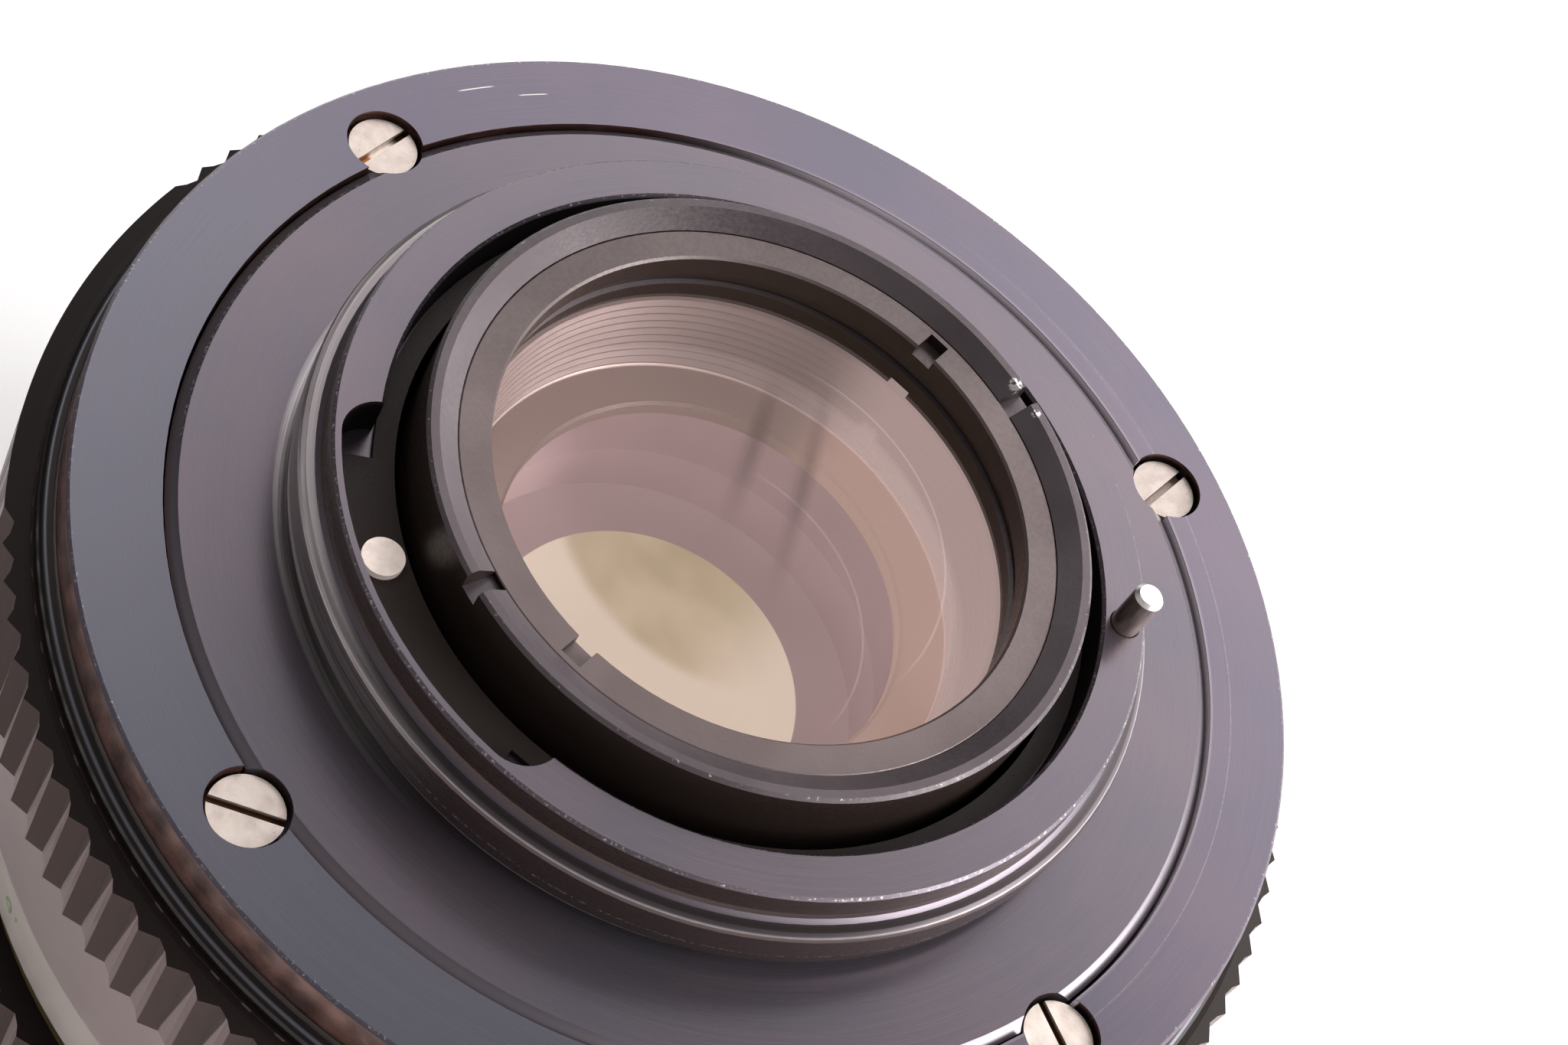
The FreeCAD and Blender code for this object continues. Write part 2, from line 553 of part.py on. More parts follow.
# ---------------------------------------------------------------- iris
housing_blank = turned("housing_blank", [
    ("iris_open", z_at(-18.4)), (20.4, z_at(-18.4)), (20.4, z_at(-19.18)),
    (21.1, z_at(-19.18)), (21.1, z_at(-14.62)), (20.4, z_at(-14.62)),
    (20.4, z_at(-17.4)), ("iris_open", z_at(-17.4))])
housing_tools = [arc_slot("housing_gap", 20.0, 22.0, -16.0, -14.0, FORK_ANGLE - 5.0,
                          IRIS_THROW + 10.0)]
for k in range(BLADES):
    x, y = polar(size("blade_pivot"), k * 60.0)
    housing_tools.append(cylinder("pivot_hole%d" % k, 0.45, 3.0, x, y, z_at(-19.0)))
keep(cut("iris_housing", housing_blank, housing_tools), "iris_housing")

DRIVE_ARM = 2.4                # drive pin from the blade's pivot
DRIVE_REST = 74.5              # its direction with the iris open


def drive_path(count):
    """Path of a drive pin seen from the drive ring, from open to closed."""
    points = []
    for i in range(count + 1):
        part = i / count
        a = math.radians(DRIVE_REST + BLADE_SWING * part)
        x = size("blade_pivot") + DRIVE_ARM * math.cos(a)
        y = DRIVE_ARM * math.sin(a)
        b = math.radians(-IRIS_THROW * part)
        points.append((x * math.cos(b) - y * math.sin(b), x * math.sin(b) + y * math.cos(b)))
    return points


drive_ring = Part.makeCylinder(20.2, 0.8, FreeCAD.Vector(0, 0, FLANGE - 15.8))
drive_ring = drive_ring.cut(Part.makeCylinder(15.6, 3.0, FreeCAD.Vector(0, 0, FLANGE - 17.0)))
path = drive_path(14)
half_slot = 0.42
left, right = [], []
for i, (x, y) in enumerate(path):
    x0, y0 = path[max(i - 1, 0)]
    x1, y1 = path[min(i + 1, len(path) - 1)]
    step = math.hypot(x1 - x0, y1 - y0)
    nx, ny = -(y1 - y0) / step, (x1 - x0) / step
    left.append(FreeCAD.Vector(x + half_slot * nx, y + half_slot * ny, 0))
    right.append(FreeCAD.Vector(x - half_slot * nx, y - half_slot * ny, 0))
outline = left + right[::-1]
slot = Part.Face(Part.makePolygon(outline + [outline[0]])).extrude(FreeCAD.Vector(0, 0, 3.0))
for x, y in (path[0], path[-1]):
    slot = slot.fuse(Part.makeCylinder(half_slot, 3.0, FreeCAD.Vector(x, y, 0)))
slot.translate(FreeCAD.Vector(0, 0, FLANGE - 17.0))
for k in range(BLADES):
    turned_slot = slot.copy()
    turned_slot.rotate(FreeCAD.Vector(0, 0, 0), FreeCAD.Vector(0, 0, 1), k * 60.0)
    drive_ring = drive_ring.cut(turned_slot)
tab = Part.makeBox(2.9, 2.0, 0.8, FreeCAD.Vector(19.6, -1.0, FLANGE - 15.8))
tongue = Part.makeBox(1.0, 2.0, 12.0, FreeCAD.Vector(21.5, -1.0, FLANGE - 15.8))
drive_arm = tab.fuse(tongue)
drive_arm.rotate(FreeCAD.Vector(0, 0, 0), FreeCAD.Vector(0, 0, 1), FORK_ANGLE)
keep(free_shape("iris_drive_ring", drive_ring.fuse(drive_arm).removeSplitter()),
     "iris_drive_ring")


def blade_shape(level_top):
    """One iris blade with its pivot stud below and its drive stud above."""
    thick = size("blade_thick")
    low = level_top - thick
    inner, outer = size("blade_inner"), size("blade_outer")
    pivot = FreeCAD.Vector(size("blade_pivot"), 0, low)
    start, stop = 2.0, 142.0
    band = Part.makeCylinder(outer, thick, FreeCAD.Vector(0, 0, low), FreeCAD.Vector(0, 0, 1),
                             stop - start)
    band.rotate(FreeCAD.Vector(0, 0, 0), FreeCAD.Vector(0, 0, 1), start)
    band = band.cut(Part.makeCylinder(inner, 3.0, FreeCAD.Vector(0, 0, low - 1.0)))
    middle = (inner + outer) / 2.0
    width = (outer - inner) / 2.0
    x, y = polar(middle, stop)
    band = band.fuse(Part.makeCylinder(width, thick, FreeCAD.Vector(x, y, low)))
    a = math.radians(DRIVE_REST)
    drive = FreeCAD.Vector(pivot.x + DRIVE_ARM * math.cos(a), DRIVE_ARM * math.sin(a), low)
    ear = Part.makeCylinder(0.95, thick, pivot).fuse(Part.makeCylinder(0.8, thick, drive))
    x0, y0 = polar(15.2, 3.5)
    x1, y1 = polar(15.2, 12.0)
    web = Part.Face(Part.makePolygon([
        FreeCAD.Vector(x0, y0, low), FreeCAD.Vector(pivot.x + 0.3, -0.8, low),
        FreeCAD.Vector(pivot.x + 0.9, 0.2, low), FreeCAD.Vector(drive.x + 0.75, drive.y, low),
        FreeCAD.Vector(drive.x + 0.1, drive.y + 0.78, low), FreeCAD.Vector(x1, y1, low),
        FreeCAD.Vector(x0, y0, low)]))
    band = band.fuse([ear, web.extrude(FreeCAD.Vector(0, 0, thick))])
    stud = Part.makeCylinder(0.4, low - (FLANGE - 18.3) + thick,
                             FreeCAD.Vector(pivot.x, 0, FLANGE - 18.3))
    driver = Part.makeCylinder(0.35, FLANGE - 15.1 - low, drive)
    return band.fuse([stud, driver]).removeSplitter()


LEVEL_PITCH = 0.2
for k in range(BLADES):
    blade = blade_shape(FLANGE - 16.0 - k * LEVEL_PITCH)
    blade.rotate(FreeCAD.Vector(0, 0, 0), FreeCAD.Vector(0, 0, 1), k * 60.0)
    keep(free_shape("iris_blade_%d" % (k + 1), blade), "iris_blade_%d" % (k + 1))

# ---------------------------------------------------------------- front group
keep(turned("front_cell", [
    (12.0, z_at(-19.2)), (24.45, z_at(-19.2)), (24.45, z_at(-20.8)), (18.4, z_at(-20.8)),
    (18.4, z_at(-35.4)), (17.3, z_at(-35.4)), (17.3, z_at(-29.2)), (14.2, z_at(-29.2)),
    (14.2, z_at(-22.0)), (12.0, z_at(-22.0))]), "front_cell")
keep(cut("front_inner_element", cylinder("front_inner_glass", 14.15, 4.8, z=z_at(-26.9)),
         [sphere("front_inner_curve", 30.0, z_at(-23.6 + 30.0))]), "front_inner_element")
keep(turned("front_spacer", [
    (12.7, z_at(-29.2)), (14.15, z_at(-29.2)), (14.15, z_at(-26.95)), (12.7, z_at(-26.95))]),
    "front_spacer")
keep(shared("front_element", cylinder("front_glass", 17.2, 6.0, z=z_at(-35.25)),
            sphere("front_curve", 45.0, z_at(-33.9 + 45.0))), "front_element")
keep(turned("front_retaining_ring", [
    (16.2, z_at(-32.4)), (17.28, z_at(-32.4)), (17.28, z_at(-31.0)), (16.2, z_at(-31.0))]),
    "front_retaining_ring")
keep(turned("name_ring", [
    (18.45, z_at(-35.4)), (24.45, z_at(-35.9)), (24.45, z_at(-35.0)), (18.45, z_at(-34.4))]),
    "name_ring")

# ---------------------------------------------------------------- checks and export
doc.recompute()
for obj in doc.Objects:
    if "Invalid" in obj.State or "Error" in obj.State:
        raise RuntimeError("%s is %s" % (obj.Name, obj.State))
os.makedirs("parts", exist_ok=True)
for obj in nodes:
    if obj.Shape.isNull() or not obj.Shape.isValid():
        raise RuntimeError("%s has a bad shape" % obj.Label)
    obj.Shape.exportStep("parts/%s.step" % obj.Label)
    print("%-24s solids %d volume %.2f" % (obj.Label, len(obj.Shape.Solids), obj.Shape.Volume))
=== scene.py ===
import math
import bpy
from mathutils import Matrix, Vector


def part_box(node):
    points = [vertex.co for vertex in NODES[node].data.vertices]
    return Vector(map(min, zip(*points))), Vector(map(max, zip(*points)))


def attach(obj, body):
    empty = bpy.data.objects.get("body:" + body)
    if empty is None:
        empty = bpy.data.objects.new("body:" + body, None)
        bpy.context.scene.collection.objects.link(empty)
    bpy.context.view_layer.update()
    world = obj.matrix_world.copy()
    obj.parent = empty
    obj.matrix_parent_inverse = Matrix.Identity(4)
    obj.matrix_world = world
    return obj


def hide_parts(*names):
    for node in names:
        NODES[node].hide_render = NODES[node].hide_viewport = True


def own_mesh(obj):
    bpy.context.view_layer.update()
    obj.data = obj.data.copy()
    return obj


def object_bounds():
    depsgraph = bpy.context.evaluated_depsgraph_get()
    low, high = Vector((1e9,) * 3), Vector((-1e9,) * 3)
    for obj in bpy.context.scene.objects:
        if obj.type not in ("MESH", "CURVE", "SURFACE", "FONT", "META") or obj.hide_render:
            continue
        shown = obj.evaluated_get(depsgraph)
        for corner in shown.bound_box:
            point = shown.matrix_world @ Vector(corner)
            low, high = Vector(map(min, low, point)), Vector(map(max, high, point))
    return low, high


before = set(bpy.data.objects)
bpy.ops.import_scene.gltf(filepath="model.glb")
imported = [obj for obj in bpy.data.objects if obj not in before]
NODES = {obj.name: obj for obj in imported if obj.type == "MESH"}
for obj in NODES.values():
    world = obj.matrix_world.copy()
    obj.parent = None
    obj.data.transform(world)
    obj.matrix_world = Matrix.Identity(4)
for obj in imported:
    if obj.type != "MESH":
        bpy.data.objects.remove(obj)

CAD_LOW, CAD_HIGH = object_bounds()
SCENE = bpy.context.scene
MM = 0.001


def top_of(node):
    """Height of a CAD node's highest point, mm."""
    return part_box(node)[1].z / MM


def reach_of(node):
    """Radius of a CAD node about the optical axis, mm."""
    low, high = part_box(node)
    return max(-low.x, high.x) / MM


FLANGE = top_of("rear_cover_ring")      # every height below is given from this face
COVER_R = reach_of("rear_cover_ring")


# ---------------------------------------------------------------- node building
class Surface:
    """One procedural material: a Principled shader and the nodes that feed it."""

    def __init__(self, name, colour, metallic=0.0, roughness=0.5):
        self.material = bpy.data.materials.new(name)
        self.material.use_nodes = True
        self.tree = self.material.node_tree
        self.shader = self.tree.nodes["Principled BSDF"]
        self.out = self.tree.nodes["Material Output"]
        self.shader.inputs["Base Color"].default_value = (*colour, 1.0)
        self.shader.inputs["Metallic"].default_value = metallic
        self.shader.inputs["Roughness"].default_value = roughness
        coordinates = self.tree.nodes.new("ShaderNodeTexCoord").outputs
        self.place = self.vector("SCALE", coordinates["Object"], scale=1.0 / MM)
        self.x, self.y, high = self.parts(self.place)
        self.upward = self.parts(coordinates["Normal"])[2]
        self.z = self.math("SUBTRACT", high, FLANGE)
        self.flat = self.vector("MULTIPLY", self.place, (1.0, 1.0, 0.0))
        self.radius = self.vector("LENGTH", self.flat)
        self.around = self.vector("NORMALIZE", self.flat)
        self.angle = self.math("ARCTAN2", self.y, self.x)

    def parts(self, vector):
        """The three parts of a vector."""
        node = self.tree.nodes.new("ShaderNodeSeparateXYZ")
        self.feed(node.inputs[0], vector)
        return node.outputs

    def feed(self, socket, source):
        """Link a source to a socket, or set the socket to a plain value."""
        if isinstance(source, bpy.types.NodeSocket):
            self.tree.links.new(source, socket)
        else:
            socket.default_value = source

    def math(self, operation, a, b=0.0):
        """One sum on plain values or sockets."""
        node = self.tree.nodes.new("ShaderNodeMath")
        node.operation = operation
        for socket, source in zip(node.inputs, (a, b)):
            self.feed(socket, source)
        return node.outputs[0]

    def vector(self, operation, a, b=(0.0, 0.0, 0.0), scale=1.0):
        """One vector sum; a length or a dot product comes out as a value."""
        node = self.tree.nodes.new("ShaderNodeVectorMath")
        node.operation = operation
        self.feed(node.inputs[0], a)
        if operation == "SCALE":
            self.feed(node.inputs["Scale"], scale)
        elif operation not in ("LENGTH", "NORMALIZE"):
            self.feed(node.inputs[1], b)
        return node.outputs["Value"] if operation in ("LENGTH", "DOT_PRODUCT") else node.outputs[0]

    def noise(self, place, scale, detail=2.0, roughness=0.5, seed=0.0):
        """Soft random pattern in 0..1, its scale per mm of place."""
        node = self.tree.nodes.new("ShaderNodeTexNoise")
        node.noise_dimensions = "4D"
        self.feed(node.inputs["Vector"], place)
        node.inputs["W"].default_value = seed
        node.inputs["Scale"].default_value = scale
        node.inputs["Detail"].default_value = detail
        node.inputs["Roughness"].default_value = roughness
        return node.outputs["Fac"]

    def ramp(self, value, low, high, start=0.0, stop=1.0, smooth=True):
        """start below low, stop above high, smooth between them."""
        node = self.tree.nodes.new("ShaderNodeMapRange")
        node.interpolation_type = "SMOOTHSTEP" if smooth else "LINEAR"
        self.feed(node.inputs["Value"], value)
        node.inputs["From Min"].default_value = low
        node.inputs["From Max"].default_value = high
        node.inputs["To Min"].default_value = start
        node.inputs["To Max"].default_value = stop
        return node.outputs["Result"]

    def near(self, value, centre, width):
        """1 at a value of centre, fading to 0 at width from it."""
        away = self.math("ABSOLUTE", self.math("SUBTRACT", value, centre))
        return self.ramp(away, 0.0, width, 1.0, 0.0)

    def both(self, *masks):
        """The product of several masks."""
        result = masks[0]
        for mask in masks[1:]:
            result = self.math("MULTIPLY", result, mask)
        return result

    def either(self, *masks):
        """The largest of several masks."""
        result = masks[0]
        for mask in masks[1:]:
            result = self.math("MAXIMUM", result, mask)
        return result

    def blend(self, factor, a, b):
        """Colour a where factor is 0 and b where it is 1."""
        node = self.tree.nodes.new("ShaderNodeMix")
        node.data_type = "RGBA"
        self.feed(node.inputs["Factor"], factor)
        for socket, source in ((node.inputs["A"], a), (node.inputs["B"], b)):
            self.feed(socket, (*source, 1.0) if isinstance(source, tuple) else source)
        return node.outputs["Result"]

    def turning(self, drag=1.5, pitch=1.0):
        """Place stretched along the lathe's cut: slow round the axis, fine across it."""
        across = self.math("MULTIPLY", self.math("ADD", self.radius, self.z), pitch)
        lift = self.tree.nodes.new("ShaderNodeCombineXYZ")
        self.feed(lift.inputs[2], across)
        return self.vector("ADD", self.vector("SCALE", self.around, scale=drag), lift.outputs[0])

    def set(self, **sockets):
        """Feed shader sockets, their names written with _ for a space."""
        for name, source in sockets.items():
            self.feed(self.shader.inputs[name.replace("_", " ")], source)

    def bump(self, height, distance):
        """Bump from a height in 0..1, its full depth in mm."""
        node = self.tree.nodes.new("ShaderNodeBump")
        node.inputs["Strength"].default_value = 1.0
        node.inputs["Distance"].default_value = distance * MM
        self.feed(node.inputs["Height"], height)
        self.feed(self.shader.inputs["Normal"], node.outputs[0])

    def spot(self, radius, degrees, size):
        """1 in a small round patch at a plan position, mm and degrees."""
        a = math.radians(degrees)
        centre = (radius * math.cos(a), radius * math.sin(a), 0.0)
        away = self.vector("LENGTH", self.vector("SUBTRACT", self.flat, centre))
        return self.ramp(away, 0.6 * size, size, 1.0, 0.0)

    def sector(self, degrees, spread):
        """1 about an angle, fading to 0 at spread degrees from it."""
        a = math.radians(degrees)
        facing = self.vector("DOT_PRODUCT", self.around, (math.cos(a), math.sin(a), 0.0))
        return self.ramp(facing, math.cos(math.radians(spread)),
                         math.cos(math.radians(0.6 * spread)))

    def smear(self, centre, degrees, half_length, half_width):
        """1 along a soft straight streak about a plan position, mm and degrees."""
        a = math.radians(degrees)
        away = self.vector("SUBTRACT", self.flat, (*centre, 0.0))
        along = self.vector("DOT_PRODUCT", away, (math.cos(a), math.sin(a), 0.0))
        across = self.vector("DOT_PRODUCT", away, (-math.sin(a), math.cos(a), 0.0))
        return self.both(self.near(along, 0.0, half_length), self.near(across, 0.0, half_width))

    def arc(self, radius, width, degrees, spread):
        """1 along an arc mark of a radius and width, centred on an angle."""
        return self.both(self.near(self.radius, radius, width), self.sector(degrees, spread))


def paint(surface, *names):
    """Give CAD nodes a surface as their only material."""
    for name in names:
        for slot in NODES[name].material_slots:
            slot.material = surface.material


# ---------------------------------------------------------------- materials
WORN = (0.62, 0.58, 0.57)               # bare metal where a finish has gone
ANODISED_METAL = 0.68                   # metallic share of anodised aluminium


def anodised(name, colour, side_colour):
    """Black anodised aluminium: pale satin on its faces, near black on its turned sides, partly their own
    finish and partly painted shade.
    """
    s = Surface(name, colour, ANODISED_METAL, 0.28)
    fine = s.noise(s.turning(1.2, 5.0), 2.2, 3.0, 0.6)
    cloud = s.noise(s.place, 0.09, 3.0, 0.55, 3.0)
    s.speck = s.noise(s.place, 5.0, 3.0, 0.7, 8.0)
    s.grit = s.noise(s.place, 16.0, 2.0, 0.6, 1.0)
    red, leaf, blue = colour
    dark = (0.88 * red, 0.94 * leaf, 0.99 * blue)
    light = (1.11 * red, 1.04 * leaf, 1.05 * blue)
    tone = s.math("ADD", s.math("MULTIPLY", fine, 0.4), s.math("MULTIPLY", cloud, 0.6))
    face = s.blend(s.ramp(tone, 0.35, 0.65), dark, light)
    # Painted shade in part: turned sides take side_colour, upward faces the paler face colour.
    s.base = s.blend(s.ramp(s.upward, 0.3, 0.8), side_colour, face)
    s.fine = fine
    s.rough = s.math("ADD", s.math("MULTIPLY", fine, 0.06), 0.24)
    return s


def finish_worn(s, wear, metal=ANODISED_METAL):
    """Where wear is 1 the anodising is gone and bright metal shows."""
    s.set(Base_Color=s.blend(wear, s.base, WORN))
    s.set(Roughness=s.math("ADD", s.math("MULTIPLY", wear, 0.1), s.rough))
    s.set(Metallic=s.math("ADD", s.math("MULTIPLY", wear, 0.25), metal))
    grain = s.math("ADD", s.math("MULTIPLY", s.fine, 0.5), s.math("MULTIPLY", s.grit, 0.5))
    s.bump(grain, 0.002)
    return s


def cover_surface():
    """Rear cover ring: anodised face, dark glossy side, worn outer edge; painted shade on the far flank, a
    painted highlight on the bead, painted light on the seam's wall on the pin side and a painted blue-grey
    reflection on the near face.
    """
    s = anodised("cover_anodised", (0.102, 0.0875, 0.109), (0.10, 0.048, 0.039))
    below = s.ramp(s.z, -0.35, -0.15, 1.0, 0.0)
    mottle = s.noise(s.place, 0.5, 3.0, 0.6, 6.0)
    lacquer_and_far_shade = s.blend(s.ramp(mottle, 0.35, 0.65), (0.060, 0.028, 0.022), (0.17, 0.082, 0.066))
    # Painted shade: away from about -135 degrees the mottled flank is painted near black.
    lacquer_and_far_shade = s.blend(s.sector(-135.0, 120.0), (0.030, 0.022, 0.021), lacquer_and_far_shade)
    flank = s.blend(s.ramp(s.z, -2.6, -2.1, 1.0, 0.0), lacquer_and_far_shade, (0.016, 0.011, 0.011))
    # Painted highlight: the pale line along the bead at radius 31 mm.
    bead = s.both(s.near(s.radius, 31.0, 0.12), s.near(s.z, -3.0, 0.35))
    s.base = s.blend(below, s.base, s.blend(bead, flank, (0.20, 0.21, 0.24)))
    # Painted light: on the pin side the seam's wall is painted pale and non-metallic over the seam's
    # shade, with a paler strip along its top edge.
    pin_side = s.sector(30.0, 100.0)
    bore = s.both(s.ramp(s.radius, 26.55, 26.65, 1.0, 0.0), s.ramp(s.z, -0.06, -0.02, 1.0, 0.0), pin_side)
    bore_edge = s.both(s.near(s.radius, 26.42, 0.14), s.ramp(s.z, -0.06, -0.02), pin_side)
    s.base = s.blend(bore, s.base, (0.66, 0.60, 0.66))
    s.base = s.blend(bore_edge, s.base, (0.16, 0.14, 0.16))
    # Painted reflection: a blue-grey tint on the faces about -122 degrees.
    cool = s.both(s.sector(-122.0, 85.0), s.ramp(s.z, -0.1, -0.02))
    s.base = s.blend(s.math("MULTIPLY", cool, 0.75), s.base, (0.096, 0.098, 0.117))
    edge = s.both(s.near(s.radius, COVER_R - 0.85, 0.14), s.near(s.z, -0.08, 0.2),
                  s.ramp(s.speck, 0.56, 0.7))
    faint = s.math("MULTIPLY", s.both(s.arc(27.5, 0.05, 20.0, 80.0), s.ramp(s.speck, 0.3, 0.6)), 0.14)
    scuff = s.either(s.arc(29.0, 0.05, 146.0, 2.2), s.arc(28.3, 0.045, 140.0, 1.8), faint)
    nick = s.spot(29.2, -24.6, 0.3)
    return finish_worn(s, s.either(edge, scuff, nick), metal=s.ramp(bore, 0.0, 1.0, ANODISED_METAL, 0.0))


def plate_surface():
    """Mount plate: anodised, the spigot lip and the bevel rubbed bright; painted light on the bevel slope,
    strongest on the pin side, a painted highlight on the ledge and painted shade on the rest of the ledge.
    """
    s = anodised("plate_anodised", (0.106, 0.0915, 0.105), (0.085, 0.058, 0.055))
    # Painted light: the bevel slope is painted paler, most about 50 degrees.
    slope = s.both(s.near(s.radius, 25.95, 0.36), s.ramp(s.upward, 0.985, 0.96))
    s.base = s.blend(slope, s.base, s.blend(s.sector(50.0, 75.0), (0.13, 0.115, 0.13), (0.36, 0.33, 0.36)))
    # Painted highlight and shade: the ledge is pale about 188 degrees and near black elsewhere.
    ledge = s.both(s.near(s.radius, 20.6, 0.6), s.near(s.z, 3.38, 0.25))
    s.base = s.blend(ledge, s.base, s.blend(s.sector(188.0, 60.0), (0.038, 0.029, 0.028),
                                            (0.17, 0.148, 0.152)))
    hollow = s.both(s.ramp(s.radius, 17.2, 17.35), s.ramp(s.radius, 20.0, 20.06, 1.0, 0.0),
                    s.ramp(s.z, 4.9, 5.1, 1.0, 0.0),
                    s.ramp(s.z, 2.6, 2.8), s.ramp(s.upward, 0.3, 0.7, 1.0, 0.0))
    s.base = s.blend(hollow, s.base, (0.010, 0.007, 0.006))
    s.rough = s.math("ADD", s.rough, s.math("MULTIPLY", hollow, 0.4))
    side = s.noise(s.around, 1.6, 2.0, 0.5, 4.0)
    lip = s.both(s.near(s.radius, 21.05, 0.14), s.near(s.z, 1.66, 0.1),
                 s.ramp(s.speck, 0.48, 0.6), s.ramp(side, 0.4, 0.6))
    lip_top = s.both(s.near(s.radius, 21.03, 0.12), s.near(s.z, 3.36, 0.14),
                     s.ramp(side, 0.3, 0.6, 0.35, 0.8))
    crown = s.both(s.near(s.radius, 20.0, 0.1), s.near(s.z, 5.16, 0.1),
                   s.ramp(s.speck, 0.54, 0.66))
    crown_in = s.both(s.near(s.radius, 17.9, 0.1), s.near(s.z, 5.16, 0.1),
                      s.ramp(s.speck, 0.56, 0.68))
    bevel = s.both(s.near(s.radius, 25.76, 0.12), s.near(s.z, -0.06, 0.08),
                   s.ramp(s.speck, 0.5, 0.62), s.sector(178.0, 34.0))
    rub = s.both(s.ramp(s.radius, 20.1, 20.2), s.ramp(s.radius, 21.3, 21.5, 1.0, 0.0),
                 s.ramp(s.z, 3.3, 3.5, 1.0, 0.0), s.sector(200.0, 62.0),
                 s.ramp(s.fine, 0.35, 0.65, 0.18, 0.6))
    return finish_worn(s, s.either(lip, lip_top, crown, crown_in, bevel, rub))


def cell_surface(name="cell_black", dull=(0.064, 0.050, 0.055), bright=(0.082, 0.066, 0.071)):
    """Rear cell: semi-gloss black rim with a faint cross-hatched tool texture, matt side; painted shade on
    its far side, and painted light inside it, seen through the glass: a pale mauve colour and a glow.
    """
    s = Surface(name, bright, 0.35, 0.33)
    hatch = s.noise(s.turning(40.0, 3.0), 1.6, 1.0)
    cloud = s.noise(s.place, 0.25, 2.0, 0.5, 5.0)
    speck = s.noise(s.place, 5.0, 3.0, 0.7, 8.0)
    face = s.blend(s.ramp(cloud, 0.3, 0.7), dull, bright)
    # Painted shade: the face about 128 degrees is painted darker.
    far = s.math("MULTIPLY", s.sector(128.0, 75.0), 0.4)
    face = s.blend(far, face, (0.03, 0.022, 0.022))
    side = (0.026, 0.017, 0.014)
    # Painted light: inside the cell the black wall is painted pale mauve and glows, brightest about 208
    # degrees.
    inside = s.both(s.ramp(s.radius, 12.6, 12.8, 1.0, 0.0), s.ramp(s.z, -2.2, -2.0, 1.0, 0.0))
    mauve = s.blend(s.ramp(cloud, 0.3, 0.7), (0.28, 0.205, 0.21), (0.33, 0.25, 0.255))
    base = s.blend(inside, s.blend(s.ramp(s.upward, 0.2, 0.6), side, face), mauve)
    edge = s.both(s.near(s.radius, 16.2, 0.14), s.near(s.z, 7.12, 0.12), s.ramp(speck, 0.6, 0.7))
    notch = s.both(s.either(s.spot(15.75, 64.3, 0.42), s.spot(15.8, 57.8, 0.28)),
                   s.near(s.z, 7.1, 0.5), s.ramp(speck, 0.42, 0.52))
    wear = s.either(edge, notch)
    s.set(Base_Color=s.blend(wear, base, WORN))
    shell = s.ramp(inside, 0.0, 1.0, 0.35, 0.0)
    s.set(Metallic=s.either(shell, s.math("MULTIPLY", wear, 0.9)))
    sheen = s.ramp(hatch, 0.3, 0.7, 0.28, 0.4)
    s.set(Roughness=s.math("ADD", sheen, s.math("MULTIPLY", inside, 0.35)))
    s.set(Specular_IOR_Level=0.35, Emission_Color=(0.94, 0.76, 0.77, 1.0))
    glow = s.ramp(s.sector(208.0, 75.0), 0.0, 1.0, 0.15, 0.32)
    s.set(Emission_Strength=s.both(inside, glow))
    s.bump(s.math("MULTIPLY", hatch, s.ramp(inside, 0.0, 1.0, 1.0, 0.0)), 0.004)
    return s


def funnel_surface():
    """Blackened inner fittings behind the glass, painted light on them: a pink base and a glow, brighter
    about 28 degrees, and a painted highlight along the lip.
    """
    s = Surface("funnel_painted_glow", (0.30, 0.22, 0.21), 0.3, 0.38)
    streak = s.noise(s.turning(1.6, 6.0), 2.0, 3.0, 0.6)
    lip = s.both(s.near(s.radius, 12.63, 0.12), s.near(s.z, -1.68, 0.14))
    base = s.blend(streak, (0.085, 0.062, 0.058), (0.13, 0.098, 0.092))
    chamfer = s.both(s.near(s.radius, 10.38, 0.16), s.ramp(s.z, -1.74, -1.7, 1.0, 0.0))
    base = s.blend(chamfer, base, (0.05, 0.034, 0.03))
    ledge = s.ramp(s.z, -1.7, -1.6, 1.0, 0.0)
    # Painted highlight: the pale line along the lip.
    s.set(Base_Color=s.blend(lip, base, (0.5, 0.44, 0.41)))
    s.set(Emission_Color=s.blend(ledge, (1.0, 0.77, 0.74), (1.0, 0.66, 0.55)))
    # Painted light: the glow is brightest about 28 degrees.
    side = s.ramp(s.sector(28.0, 75.0), 0.0, 1.0, 0.12, 0.34)
    s.set(Emission_Strength=s.math("MULTIPLY", side, s.ramp(ledge, 0.0, 1.0, 1.0, 0.85)))
    s.set(Roughness=s.ramp(streak, 0.3, 0.7, 0.3, 0.46))
    s.bump(streak, 0.004)
    return s


